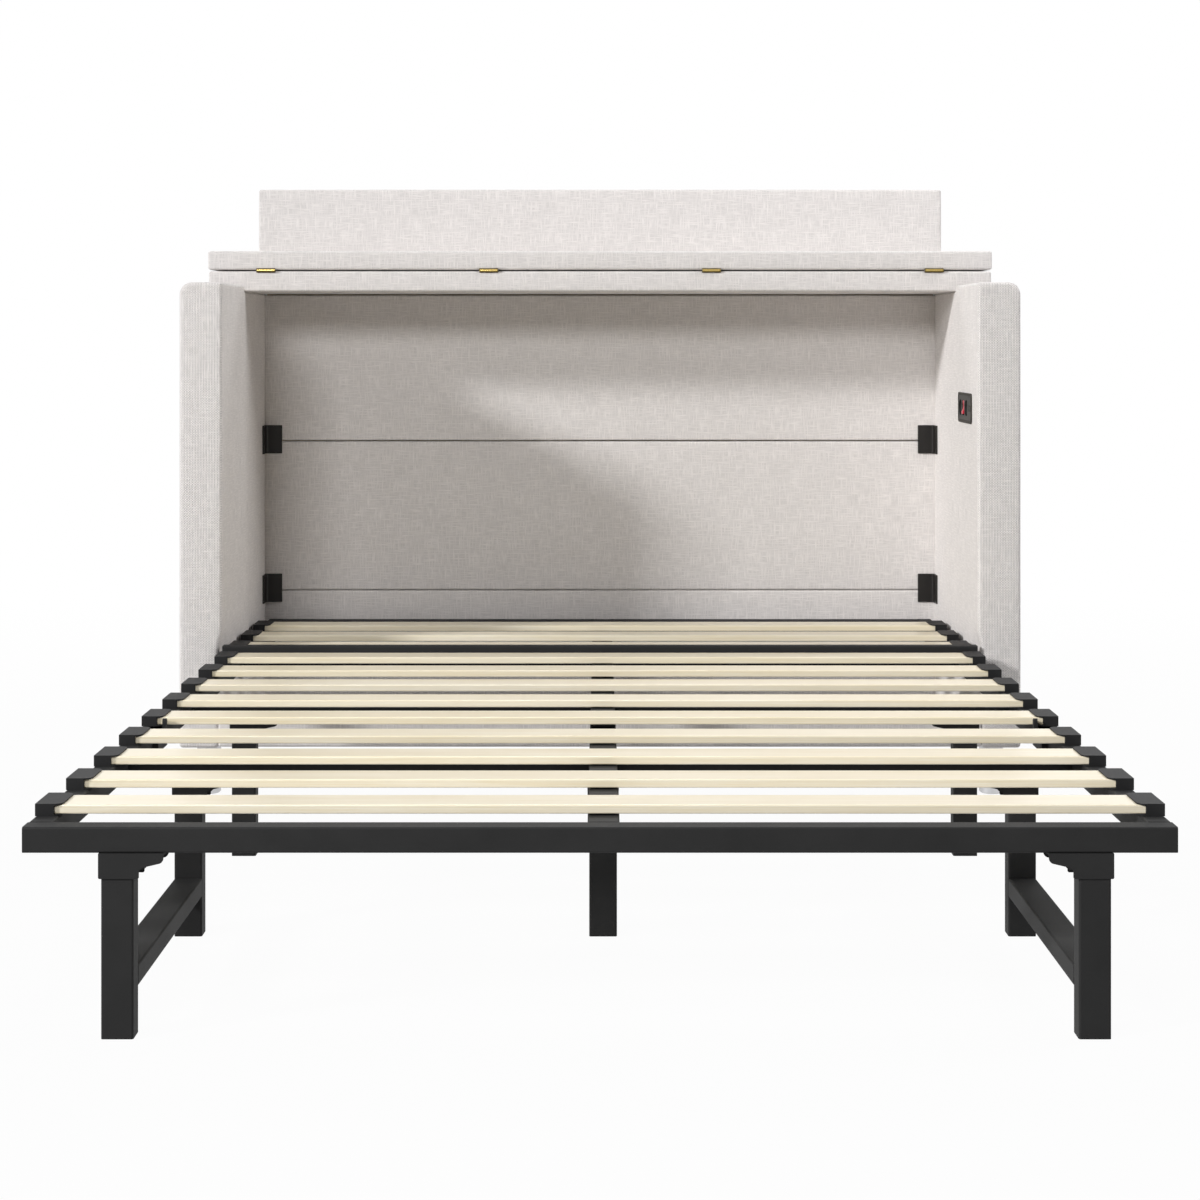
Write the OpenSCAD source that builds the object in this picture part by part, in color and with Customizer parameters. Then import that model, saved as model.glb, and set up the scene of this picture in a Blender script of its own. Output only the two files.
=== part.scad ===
// Cabinet bed: an upholstered cabinet with a folding slatted bed frame.
// Millimetres, +Z up, +X to the right, +Y from the foot of the bed to the back of the cabinet.
// The origin is on the floor, under the middle of the whole object with the bed out.

/* [Cabinet] */
// Clear width between the side panels
cabinet_inner_w = 1530; // [1500:1:1545]
// Thickness of a padded side panel
side_t = 78; // [70:1:84]
// Depth of the side panels, front to back
cabinet_d = 638; // [610:1:680]
// Height of a side panel
side_h = 922; // [919:1:960]
// Thickness of the board inside a side panel
side_core_t = 40; // [18:1:50]
// Radius of a side panel's outer top corner
side_top_r = 28; // [10:1:34]
// Radius of a side panel's inner top corner
side_inner_r = 9; // [3:1:12]
// Radius of the upright edges of a side panel
side_edge_r = 10; // [3:1:14]
// Height of the round feet
foot_h = 96; // [80:1:110]
// Radius of the round feet
foot_r = 24; // [16:0.5:26]
// Distance from a side panel's inner face to the middle of its feet
foot_side_inset = 25; // [20:1:50]
// Distance from the ends of a side panel to the middle of its feet
foot_end_inset = 39; // [28:1:90]
// Bevel round the bottom of a foot
foot_bevel = 3; // [1:0.5:6]

/* [Back wall] */
// Thickness of the plywood behind the back pads
back_board_t = 15; // [9:1:18]
// Thickness of a back pad
back_pad_t = 28; // [18:1:34]
// Height of the lower seam between the back pads above the floor
low_seam_z = 342; // [325:0.5:360]
// Height of the middle back pad
middle_pad_h = 340.5; // [300:0.5:360]
// How far the bottom back pad starts above the side panels' lower edge
pad_rise = 4; // [2:1:20]
// Radius of the pads' long edges, which makes the seams
pad_edge_r = 5; // [2:0.5:8]
// Width of a corner block, across the cabinet
block_w = 47; // [35:1:60]
// Depth of a corner block
block_d = 48; // [35:1:60]
// Height of a corner block
block_h = 62; // [45:1:80]
// How far a corner block's middle lies above its seam
block_rise = 6; // [0:1:12]
// Bevel on the free upright edge of a corner block
block_bevel = 4; // [1:0.5:8]
// Thickness of the lower front board
lower_board_t = 20; // [15:1:26]
// Height of the lower front board
lower_board_h = 62; // [50:1:75]
// Height of the lower front board's lower edge above the floor
lower_board_z = 98; // [90:1:110]
// Radius of the lower front board's edges
lower_board_r = 4; // [1:0.5:8]
// Width of a brass clip on the lower front board
clip_w = 44; // [30:1:60]
// Height of the brass clips
clip_h = 10; // [6:1:14]
// Metal thickness of the brass clips
clip_t = 1.5; // [1:0.25:2.5]
// Distance from the middle to the inner clips
clip_inner_x = 314; // [200:1:380]
// Distance from the middle to the outer clips
clip_outer_x = 467; // [430:1:600]

/* [Top and lid] */
// Thickness of the fixed top
top_t = 43.5; // [36:0.5:50]
// Distance from the cabinet's front plane to the fixed top
top_front = 321; // [300:1:340]
// Thickness of the lid
lid_t = 40.5; // [34:0.5:43]
// How far the lid reaches past the fixed top at each side
lid_side_overhang = 2; // [0:0.5:6]
// Gap between the fixed top and the lid folded back on it
lid_gap = 3; // [2.6:0.1:5]
// Thickness of the fascia
fascia_t = 40; // [25:1:50]
// Height of the fascia above the lid folded back
fascia_h = 155; // [100:1:200]
// Distance from the lid's ends to the fascia's ends
fascia_inset = 58; // [0:1:90]
// Gap between the fascia and the side panels' fronts when the lid is shut
fascia_clear = 4; // [2:0.5:8]
// Radius of the padded edges of the top, the lid and the fascia
panel_edge_r = 8; // [3:0.5:12]

/* [Lid hinges] */
// Length of a hinge barrel
hinge_w = 40; // [30:1:60]
// Radius of a hinge barrel
barrel_r = 4.5; // [3.5:0.25:6]
// Radius of a hinge pin
hinge_pin_r = 1.5; // [1:0.1:2]
// Thickness of a hinge leaf
leaf_t = 1.2; // [0.8:0.05:1.25]
// Depth of a hinge leaf, from its axis
leaf_d = 25; // [18:1:35]
// Distance from the lid's ends to the middle of the outer hinges
hinge_end_inset = 125.5; // [90:0.5:200]
// Number of lid hinges
hinge_count = 4; // [2:1:6]
// Clearance round a barrel in the grooves of the top and the lid
hinge_clear = 0.5; // [0.3:0.1:0.6]
// Gap between the knuckles of a hinge
knuckle_gap = 0.2; // [0.1:0.05:0.4]

/* [Bed frame] */
// Gap between the bed frame and a side panel
frame_gap = 10; // [9:0.5:15]
// Height of the rails' underside above the floor
rail_z = 243; // [236:1:248]
// Width of a side rail
rail_w = 33; // [28:1:36]
// Height of the rails and cross tubes
rail_h = 34; // [30:1:36]
// Depth of the foot rail and the cross tubes
cross_d = 32; // [28:1:34]
// Wall of the steel tubes
tube_wall = 1.6; // [1.2:0.1:2.5]
// Outer corner radius of the steel tubes
tube_r = 3; // [2.6:0.1:4]
// Thickness of the plates that close the tube ends
plug_t = 2; // [1.5:0.5:4]
// Length of the spigots on these plates
plug_l = 14; // [8:1:20]
// Width of the beam under the middle of the slats
beam_w = 42.5; // [30:0.5:50]
// How far the middle beam and leg lie to the right of the middle
beam_shift = 4.75; // [0:0.25:10]
// Width of the bar across the rails, front to back
bar_d = 25; // [20:1:28]
// Height of the bar across the rails
bar_h = 24.5; // [20:0.5:26]
// Distance from the cabinet's front plane to the back of the bar
bar_back = 16; // [12:1:18]
// Metal thickness of the angle brackets under the rear rails
angle_t = 3; // [2:0.5:4]
// Length of the angle brackets
angle_l = 60; // [40:1:80]
// Distance from the ends of the rear rails to the angle brackets
angle_inset = 58; // [50:1:120]
// Gap between the rear rails and the back pads
rear_rail_gap = 5; // [2:1:12]

/* [Slats] */
// Number of slats on the foot section
front_slat_count = 4; // [4:1:4]
// Number of slats on the middle section
middle_slat_count = 5; // [5:1:5]
// Number of slats on the fixed rear section
rear_slat_count = 3; // [2:1:3]
// Distance from the front of the foot rail to the first slat cap
first_cap_y = 64.1; // [58:0.1:66]
// Gap between the last cap of the folding sections and the bar
last_cap_gap = 15.5; // [12:0.5:22]
// Distance between slats on the two folding sections
slat_pitch = 164.5; // [164:0.1:165]
// Distance from the cabinet's front plane to the first cap of the rear section
rear_cap_y = 57; // [56:0.5:70]
// How far the first cap of the rear section reaches past the rear rails
rear_cap_lead = 7; // [0:0.5:10]
// Distance between slats on the rear section
rear_pitch = 155; // [130:1:165]
// Width of a slat
slat_w = 63; // [55:0.5:66]
// Thickness of a slat
slat_t = 12.3; // [10:0.1:13]
// Radius of the slats' long edges
slat_r = 2; // [1:0.25:5]
// Depth of a cap, along the rail
cap_d = 71; // [69:0.5:74]
// Width of a cap's closed end
cap_w = 25; // [20:0.5:28]
// How far a cap's lips reach past its closed end
cap_lip = 11; // [6:0.5:14]
// Thickness of a cap's lips
cap_lip_t = 2; // [1.5:0.25:3]
// How far a slat's end goes into its cap
slat_grip = 12; // [8:0.5:15]
// Clearance round a slat in its cap
slat_clear = 0.15; // [0.1:0.05:0.4]
// Distance from the frame's side to the pegs under the caps
peg_inset = 13; // [8:0.5:16]
// Radius of the peg under a cap
peg_r = 4; // [3:0.25:5]
// Length of the peg under a cap
peg_l = 8; // [5:0.5:12]

/* [Legs] */
// Distance from the bed frame's sides to the middle of the side legs
leg_inset = 116.25; // [105:0.25:150]
// How far the leg set lies to the right of the middle
leg_shift = 8; // [0:0.5:10]
// Width of a leg
leg_w = 42.5; // [36:0.5:46]
// Distance from the foot rail's front to the second pair of legs
leg_spacing = 477; // [420:1:500]
// Distance from the cabinet's front plane to the middle legs' front
middle_leg_y = 493; // [480:1:500]
// Height of a brace's underside above the floor
brace_z = 60; // [40:1:90]
// Height of a brace
brace_h = 29; // [20:1:36]
// Distance from a leg's inner face to its pivot
leg_pivot_in = 9.5; // [9.2:0.1:12]
// Distance from the rail's underside down to a leg's pivot
leg_pivot_drop = 13; // [12.8:0.1:16]
// Radius of a leg's pivot pin
leg_pin_r = 4; // [3:0.25:5]
// Radius of the ear round a leg's pivot
leg_ear_r = 9; // [7:0.25:9]
// Length of the solid head in the top of a leg
leg_head = 26; // [22:1:34]
// Gap between the top of a leg and its bracket's plate
leg_top_gap = 0.5; // [0.3:0.1:1]

/* [Leg brackets] */
// Metal thickness of a bracket's cheeks
cheek_t = 2.2; // [1.6:0.1:3]
// Metal thickness of the plate between the cheeks
web_t = 3; // [2:0.1:3.2]
// Height of the cheeks beside a leg
cheek_h = 33; // [28:1:40]
// How far the cheeks reach past a leg's outer face
cheek_out = 3; // [1:0.5:6]
// How far the full height of the cheeks reaches past a leg's inner face
cheek_in = 7.5; // [5:0.5:9]
// Length of a bracket's curved nose
nose_l = 32; // [24:1:40]
// Height of a bracket's curved nose at its round end
nose_h = 12; // [10:0.5:15]
// How far the nose's lower edge rises from the leg to the round end
nose_rise = 7.5; // [4:0.5:10]
// Radius of the nose's round end
nose_r = 7; // [4:0.5:8]
// Length of the flare where the nose meets the plate beside the leg
nose_flare_l = 5.5; // [3:0.5:8]
// Height of the flare where the nose meets the plate beside the leg
nose_flare_h = 3; // [2:0.5:5]
// Radius of the hollow where the nose ends
nose_tip_r = 5; // [2:0.5:6]
// Radius of the lower corners of the cheeks
cheek_r = 2; // [0.5:0.5:4]

/* [Folding] */
// Distance from the cabinet's front plane back to the pivot of the folding bed
pivot_y = 6; // [6:0.25:7]
// Height of the pivot above the rails' underside
pivot_rise = 5; // [4:0.25:6]
// Radius of the pivot studs
pivot_r = 5; // [4:0.25:5]
// Radius of the ear round a pivot stud
pivot_ear_r = 10; // [8:0.5:10]
// Length of the ear plates along the rail
pivot_ear_l = 60; // [40:1:90]
// Height of the ear plates
pivot_ear_h = 30; // [20:1:32]
// Metal thickness of the plates on the side panels
pivot_plate_t = 4; // [3:0.25:5]
// Length of the plates on the side panels
pivot_plate_l = 60; // [45:1:90]
// Height of the plates on the side panels
pivot_plate_h = 66; // [50:1:80]
// Distance from the side panels' fronts to these plates
pivot_plate_inset = 1; // [0:0.5:4]
// Radius of the plates' corners
pivot_plate_r = 4; // [1:0.5:8]
// Clearance between the caps and rails of the two folded sections
fold_clear = 1.7; // [0.8:0.1:2]
// Distance from the fold line to the rail ends
fold_rail_gap = 16; // [12:0.5:24]
// Radius of the ears of the fold hinges
fold_ear_r = 5; // [4.5:0.1:5.2]
// Radius of the pins of the fold hinges
fold_pin_r = 2.5; // [2:0.1:3]
// Metal thickness of the fold hinges
fold_plate_t = 3; // [2.5:0.25:4]
// Length of the fold hinges along the rails
fold_plate_l = 50; // [40:1:80]
// Distance from the rails' underside to the fold hinges
fold_plate_low = 4; // [2:0.5:8]
// Distance from the rails' top down to the fold hinges
fold_plate_high = 2; // [1:0.5:6]

/* [Power unit] */
// Distance from the cabinet's front plane to the middle of the power unit
power_y = 190; // [150:1:240]
// Height of the middle of the power unit above the floor
power_z = 771.5; // [600:0.5:850]
// Length of the power unit's face
power_l = 156; // [152:1:180]
// Height of the power unit's face
power_h = 63; // [58:1:80]
// How far the power unit's face stands off the panel
power_face_t = 3; // [2:0.25:5]
// Width of the rim round the power unit's insert
power_rim = 6; // [5:0.5:8]
// Depth of the power unit's housing in the panel
power_d = 42; // [34:1:48]
// Wall of the power unit's housing
power_wall = 2; // [1.5:0.25:3]
// Radius of the corners of the power unit's face
power_face_r = 8; // [2:0.5:10]
// Thickness of the power unit's insert
insert_t = 22; // [18:1:28]
// How far the insert lies behind the face's front
insert_recess = 1; // [0.5:0.25:1.5]
// Distance from the unit's middle back to the rocker switch
rocker_y = 17; // [14:0.5:20]
// Width of the rocker switch
rocker_w = 20; // [14:1:22]
// Height of the rocker switch
rocker_h = 28; // [22:1:32]
// Depth of the rocker switch behind its axis
rocker_back = 3; // [2:0.5:4]
// Radius of the hollow in the rocker switch's face
rocker_hollow_r = 26; // [22:1:40]
// Depth of the hollow in the rocker switch's face
rocker_hollow = 2; // [1:0.25:3]
// Depth of the rocker switch's axis behind the panel's face
rocker_axis = 7; // [6:0.5:9]
// Radius of the rocker switch's axle
rocker_pin_r = 1.5; // [1:0.1:2]
// Length of an end of the axle, in the insert
rocker_pin_l = 1.5; // [1:0.25:3]
// Play above and below the rocker switch
rocker_play = 2; // [1.5:0.25:3]
// Angle that the rocker switch leans at rest
rocker_tilt = 7; // [4:0.5:10]
// Distance from the rocker switch to the middle of an outlet
outlet_y = 34; // [30:0.5:36]
// Radius of the round dish of an outlet
outlet_r = 17; // [15:0.5:18]
// Depth of the round dish of an outlet
outlet_dish = 3; // [1:0.5:5]
// Width of an outlet's blade slot
blade_w = 1.8; // [1.4:0.1:2.4]
// Height of an outlet's blade slot
blade_h = 8; // [6:0.5:9]
// Distance between an outlet's blade slots
blade_gap = 12.7; // [12:0.1:13]
// Radius of an outlet's earth hole
earth_r = 2.4; // [2:0.1:2.8]
// Distance from an outlet's middle down to its earth hole
earth_drop = 8; // [7:0.5:10]
// Distance from the unit's middle forwards to the charging ports
usb_y = 58; // [54:0.5:60]
// Distance between the charging ports
usb_pitch = 14; // [10:0.5:16]
// Width of a charging port
usb_w = 5.2; // [4.5:0.1:6]
// Height of a charging port
usb_h = 12.6; // [12:0.1:13.2]
// Thickness of a charging port's tongue
usb_tongue = 2; // [1.4:0.1:2.4]
// Depth of the slots in the insert
slot_l = 12; // [8:0.5:15]

/* [Clearances] */
// Running clearance round a pin, on the radius
pin_clear = 0.05; // [0.02:0.01:0.09]
// Gap between two parts that swing past each other
swing_clear = 0.3; // [0.2:0.05:0.5]
// Clearance round a plug or a peg, on the radius
plug_clear = 0.1; // [0.05:0.05:0.3]

/* [Hidden] */
$fn = 48;

CLOTH = [0.90, 0.88, 0.86];
STEEL = [0.20, 0.20, 0.21];
PLASTIC = [0.17, 0.17, 0.18];
BIRCH = [0.94, 0.88, 0.74];
PLYWOOD = [0.78, 0.66, 0.48];
BRASS = [0.78, 0.64, 0.30];
GREY_METAL = [0.72, 0.72, 0.73];
INSERT = [0.30, 0.30, 0.31];
RED = [0.75, 0.10, 0.10];
over = 1;
// Radius of edges that lie against another piece
hidden_r = 1;
// Radius of a bracket's sharp corners
sharp_r = 0.5;

// Heights
side_top = foot_h + side_h;
top_z = side_top + top_t;
hinge_z = top_z + lid_gap / 2;
lid_z = top_z + lid_gap;
lid_top = lid_z + lid_t;
rail_top = rail_z + rail_h;
cap_h = slat_t + 2 * slat_clear + 2 * cap_lip_t;
cap_top = rail_top + cap_h;
slat_z = rail_top + cap_lip_t + slat_clear;
fold_z = rail_top + (cap_h + fold_clear) / 2;
pivot_z = rail_z + pivot_rise;
leg_pivot_z = rail_z - leg_pivot_drop;
leg_top = rail_z - web_t - leg_top_gap;

// Distances from the cabinet's front plane, positive to the back
hinge_y = top_front - 1;
lid_back = 2 * hinge_y + fascia_clear + fascia_t;
back_face = cabinet_d - back_board_t - back_pad_t;
mid_leg_y = -middle_leg_y;
last_cap_y = bar_back - bar_d - last_cap_gap - cap_d;
middle_caps_y = last_cap_y - (middle_slat_count - 1) * slat_pitch;
front_caps_y = middle_caps_y - front_slat_count * slat_pitch;
foot_rail_y = front_caps_y - first_cap_y;
foot_rail_back = foot_rail_y + cross_d;
second_leg_y = foot_rail_y + leg_spacing;
fold_y = middle_caps_y + cap_d / 2 - slat_pitch / 4;
front_rail_end = fold_y - fold_rail_gap;
middle_rail_start = fold_y + fold_rail_gap;
middle_rail_end = bar_back;
rear_rail_start = rear_cap_y + rear_cap_lead;
rear_rail_end = back_face - rear_rail_gap;
bracket_proud = cheek_t + swing_clear;

// The front plane's own place, so that the origin is under the middle of the object
face_y = (bracket_proud - foot_rail_y - lid_back) / 2;

// Distances from the middle, positive to the right
side_in = cabinet_inner_w / 2;
side_out = side_in + side_t;
rail_out = side_in - frame_gap;
rail_in = rail_out - rail_w;
cap_in = rail_out - cap_w - cap_lip;
slat_end = rail_out - cap_w + slat_grip;
core_skin = (side_t - side_core_t) / 2;
high_seam_z = low_seam_z + middle_pad_h;
lid_half = side_out + lid_side_overhang;
fascia_half = lid_half - fascia_inset;
hinge_half = lid_half - hinge_end_inset;
peg_x = rail_out - peg_inset;
leg_x = rail_out - leg_inset;
pivot_gap = frame_gap - pivot_plate_t;
pivot_ear_t = pivot_gap - swing_clear;

// Moves what it holds from the cabinet's front plane to the origin's frame
module at_front() translate([0, face_y, 0]) children();

// Draws what it holds on the right and on the left
module both_sides() {
  children();
  mirror([1, 0, 0]) children();
}

// Draws what it holds at the leg set's middle, with its pivots turned inwards
module at_leg(side) {
  translate([leg_shift + side * leg_x, 0, 0])
    mirror([side > 0 ? 1 : 0, 0, 0]) children();
}

module corner_trim(r) {
  difference() {
    translate([-over, -over]) square(r + over);
    translate([r, r]) circle(r);
  }
}

// A rectangle with its own radius at each corner: low left, low right, high right, high left
module soft_rect(w, h, radii) {
  difference() {
    square([w, h]);
    corner_trim(radii[0]);
    translate([w, 0]) mirror([1, 0]) corner_trim(radii[1]);
    translate([w, h]) mirror([1, 0]) mirror([0, 1]) corner_trim(radii[2]);
    translate([0, h]) mirror([0, 1]) corner_trim(radii[3]);
  }
}

module round_rect(w, h, r) soft_rect(w, h, [r, r, r, r]);

// Extrudes a shape drawn in X and Z along +Y
module along_y(length) {
  translate([0, length, 0]) rotate([90, 0, 0]) linear_extrude(length) children();
}

// Extrudes a shape drawn in Y and Z along +X
module along_x(length) rotate([90, 0, 90]) linear_extrude(length) children();

module tube_section(w, h) {
  difference() {
    round_rect(w, h, tube_r);
    translate([tube_wall, tube_wall])
      round_rect(w - 2 * tube_wall, h - 2 * tube_wall, tube_r - tube_wall);
  }
}

// A plug that closes the end of a tube: a plate and a spigot on it
module tube_plug(w, h) {
  inset = tube_wall + plug_clear;
  linear_extrude(plug_t) round_rect(w, h, tube_r);
  translate([inset, inset, 0])
    linear_extrude(plug_t + plug_l) round_rect(w - 2 * inset, h - 2 * inset, tube_r - tube_wall);
}

// A padded panel: rounded seen from the front and seen from above
module padded_panel(w, d, h, r) {
  intersection() {
    along_y(d) round_rect(w, h, r);
    along_x(w) round_rect(d, h, r);
    linear_extrude(h) round_rect(w, d, r);
  }
}

// Cabinet

module power_recess() {
  translate([side_in - over, power_y - power_l / 2 + power_rim - power_wall,
             power_z - power_h / 2 + power_rim - power_wall])
    cube([power_d + over, power_l - 2 * power_rim + 2 * power_wall,
          power_h - 2 * power_rim + 2 * power_wall]);
}

module side_core() {
  translate([side_in + core_skin, core_skin, foot_h + core_skin])
    cube([side_core_t, cabinet_d - 2 * core_skin, side_h - 2 * core_skin]);
}

module side_cover() {
  difference() {
    translate([side_in, 0, foot_h]) intersection() {
      along_y(cabinet_d)
        soft_rect(side_t, side_h, [side_inner_r, side_inner_r, side_top_r, side_inner_r]);
      linear_extrude(side_h) round_rect(side_t, cabinet_d, side_edge_r);
    }
    side_core();
  }
}

module side_core_left() color(PLYWOOD) at_front() mirror([1, 0, 0]) side_core();
module side_core_right() color(PLYWOOD) at_front() difference() {
  side_core();
  power_recess();
}
module side_cover_left() color(CLOTH) at_front() mirror([1, 0, 0]) side_cover();
module side_cover_right() color(CLOTH) at_front() difference() {
  side_cover();
  power_recess();
}

module back_board() color(PLYWOOD) at_front() {
  translate([-side_in, cabinet_d - back_board_t, foot_h])
    cube([2 * side_in, back_board_t, side_h]);
}

// A back pad between two heights, with its front edges rounded
module back_pad(z_low, z_high) {
  translate([-side_in, back_face, z_low]) along_x(2 * side_in)
    soft_rect(back_pad_t, z_high - z_low, [pad_edge_r, hidden_r, hidden_r, pad_edge_r]);
}

module back_pad_top() color(CLOTH) at_front() back_pad(high_seam_z, side_top);
module back_pad_middle() color(CLOTH) at_front() back_pad(low_seam_z, high_seam_z);
module back_pad_bottom() color(CLOTH) at_front() back_pad(foot_h + pad_rise, low_seam_z);

module corner_block() {
  translate([side_in - block_w, back_face - block_d, block_rise - block_h / 2]) difference() {
    cube([block_w, block_d, block_h]);
    translate([0, 0, -over]) rotate(45)
      cube([2 * block_bevel, 2 * block_bevel, 2 * block_h + 2 * over], center = true);
  }
}

module corner_blocks() color(PLASTIC) at_front() both_sides() {
  for (seam = [high_seam_z, low_seam_z])
    translate([0, 0, seam]) corner_block();
}

module fixed_top() color(CLOTH) at_front() difference() {
  translate([-side_out, top_front, side_top])
    padded_panel(2 * side_out, cabinet_d - top_front, top_t, panel_edge_r);
  lid_hinge_places() hinge_groove();
}

module lower_front_board() color(CLOTH) at_front() {
  translate([-side_in, 0, lower_board_z]) along_x(2 * side_in)
    round_rect(lower_board_t, lower_board_h, lower_board_r);
}

// A folded brass clip over the lower front board's top edge
module board_clip() {
  clip_top = lower_board_z + lower_board_h;
  translate([-clip_w / 2, -clip_t, clip_top - clip_h])
    cube([clip_w, clip_t, clip_h + clip_t]);
  translate([-clip_w / 2, -clip_t, clip_top])
    cube([clip_w, lower_board_t + clip_t, clip_t]);
}

module board_clips() color(BRASS) at_front() both_sides() {
  for (x = [clip_inner_x, clip_outer_x])
    translate([x, 0, 0]) board_clip();
}

module cabinet_foot() {
  rotate_extrude() polygon([
    [0, 0], [foot_r - foot_bevel, 0], [foot_r, foot_bevel], [foot_r, foot_h], [0, foot_h],
  ]);
}

module cabinet_feet() color(GREY_METAL) at_front() both_sides() {
  for (y = [foot_end_inset, cabinet_d - foot_end_inset])
    translate([side_in + foot_side_inset, y, 0]) cabinet_foot();
}

// Lid and its hinges

module lid_hinge_places() {
  for (i = [0:hinge_count - 1])
    translate([hinge_half * (2 * i / (hinge_count - 1) - 1), hinge_y, hinge_z]) children();
}

module hinge_rod(r, x_from, x_to) {
  translate([x_from, 0, 0]) rotate([0, 90, 0]) cylinder(r = r, h = x_to - x_from);
}

module hinge_groove() {
  hinge_rod(barrel_r + hinge_clear, -hinge_w / 2 - hinge_clear, hinge_w / 2 + hinge_clear);
}

// A leaf that lies on a panel, with its knuckles; the rest of the barrel is cut clear
module hinge_leaf(z_low, knuckles, gaps) {
  difference() {
    union() {
      difference() {
        translate([-hinge_w / 2, 0, z_low]) cube([hinge_w, leaf_d, leaf_t]);
        for (g = gaps)
          hinge_rod(barrel_r + hinge_clear, g[0], g[1]);
      }
      for (k = knuckles)
        hinge_rod(barrel_r, k[0], k[1]);
    }
    hinge_rod(hinge_pin_r + pin_clear, -hinge_w, hinge_w);
  }
}

knuckle_far = hinge_w / 6 + knuckle_gap / 2;
knuckle_near = hinge_w / 6 - knuckle_gap / 2;
side_knuckles = [[-hinge_w / 2, -knuckle_far], [knuckle_far, hinge_w / 2]];
middle_knuckle = [[-knuckle_near, knuckle_near]];
middle_gap = [[-knuckle_far, knuckle_far]];
side_gaps = [[-hinge_w, -knuckle_near], [knuckle_near, hinge_w]];

module lid_hinge_fixed_leaves() color(BRASS) at_front() lid_hinge_places()
  hinge_leaf(-lid_gap / 2, side_knuckles, middle_gap);

module lid_hinge_moving_leaves() color(BRASS) at_front() lid_hinge_places()
  hinge_leaf(lid_gap / 2 - leaf_t, middle_knuckle, side_gaps);

module lid_hinge_pins() color(BRASS) at_front() lid_hinge_places()
  hinge_rod(hinge_pin_r, -hinge_w / 2, hinge_w / 2);

module lid_panel() color(CLOTH) at_front() difference() {
  translate([-lid_half, top_front, lid_z])
    padded_panel(2 * lid_half, lid_back - top_front, lid_t, panel_edge_r);
  lid_hinge_places() hinge_groove();
}

module lid_fascia() color(CLOTH) at_front() {
  radii = [hidden_r, hidden_r, panel_edge_r, panel_edge_r];
  translate([-fascia_half, lid_back - fascia_t, lid_top]) intersection() {
    along_y(fascia_t) soft_rect(2 * fascia_half, fascia_h, radii);
    along_x(2 * fascia_half) soft_rect(fascia_t, fascia_h, radii);
    linear_extrude(fascia_h) round_rect(2 * fascia_half, fascia_t, panel_edge_r);
  }
}

// Power unit in the right side panel; its own frame is X into the panel, Y and Z as outside

module at_power() at_front() translate([side_in, power_y, power_z]) children();

insert_l = power_l - 2 * power_rim;
insert_h = power_h - 2 * power_rim;
insert_front = insert_recess - power_face_t;
rocker_front = -rocker_axis - power_face_t;

module power_housing() color(PLASTIC) at_power() difference() {
  translate([0, -insert_l / 2 - power_wall, -insert_h / 2 - power_wall])
    cube([power_d, insert_l + 2 * power_wall, insert_h + 2 * power_wall]);
  translate([-over, -insert_l / 2, -insert_h / 2])
    cube([power_d + over - power_wall, insert_l, insert_h]);
}

module power_face() color(PLASTIC) at_power() difference() {
  translate([-power_face_t, -power_l / 2, -power_h / 2])
    along_x(power_face_t) round_rect(power_l, power_h, power_face_r);
  translate([-power_face_t - over, -insert_l / 2, -insert_h / 2])
    cube([power_face_t + 2 * over, insert_l, insert_h]);
}

// A round dish with two blade slots and an earth hole
module outlet_cut() {
  translate([insert_front - over, 0, 0]) rotate([0, 90, 0])
    cylinder(r = outlet_r, h = outlet_dish + over);
  for (side = [-1, 1])
    translate([insert_front, side * blade_gap / 2 - blade_w / 2, 0])
      cube([slot_l, blade_w, blade_h]);
  translate([insert_front, 0, -earth_drop]) rotate([0, 90, 0]) cylinder(r = earth_r, h = slot_l);
}

// A charging port with its tongue
module usb_cut() {
  tongue_h = usb_h - usb_tongue;
  difference() {
    translate([insert_front - over, -usb_w / 2, -usb_h / 2]) cube([slot_l + over, usb_w, usb_h]);
    translate([insert_front + over, -usb_tongue / 2, -tongue_h / 2])
      cube([slot_l, usb_tongue, tongue_h]);
  }
}

module power_insert() color(INSERT) at_power() difference() {
  translate([insert_front, -insert_l / 2 + plug_clear, -insert_h / 2 + plug_clear])
    cube([insert_t, insert_l - 2 * plug_clear, insert_h - 2 * plug_clear]);
  for (side = [-1, 1])
    translate([0, rocker_y + side * outlet_y, 0]) outlet_cut();
  for (side = [-1, 1])
    translate([0, side * usb_pitch / 2 - usb_y, 0]) usb_cut();
  translate([insert_front - over, rocker_y - rocker_w / 2 - swing_clear,
             -rocker_h / 2 - rocker_play])
    cube([insert_t + 2 * over, rocker_w + 2 * swing_clear, rocker_h + 2 * rocker_play]);
  translate([rocker_axis, rocker_y, 0]) rotate([90, 0, 0])
    cylinder(r = rocker_pin_r + pin_clear, h = rocker_w + 2 * (rocker_pin_l + swing_clear),
             center = true);
}

module power_rocker() color(RED) at_power() {
  translate([rocker_axis, rocker_y, 0]) rotate([0, rocker_tilt, 0]) {
    difference() {
      translate([rocker_front, -rocker_w / 2, -rocker_h / 2])
        cube([rocker_back - rocker_front, rocker_w, rocker_h]);
      translate([rocker_front + rocker_hollow - rocker_hollow_r, 0, 0]) rotate([90, 0, 0])
        cylinder(r = rocker_hollow_r, h = rocker_w + 2 * over, center = true, $fn = 96);
    }
    rotate([90, 0, 0])
      cylinder(r = rocker_pin_r, h = rocker_w + 2 * rocker_pin_l, center = true);
  }
}

// Bed frame: tubes

module side_rail(y_from, y_to, cap_rows) {
  difference() {
    translate([rail_in, y_from, rail_z]) along_y(y_to - y_from) tube_section(rail_w, rail_h);
    for (y = cap_rows)
      translate([peg_x, y + cap_d / 2, rail_top - peg_l - over])
        cylinder(r = peg_r + plug_clear, h = peg_l + 2 * over);
  }
}

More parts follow.
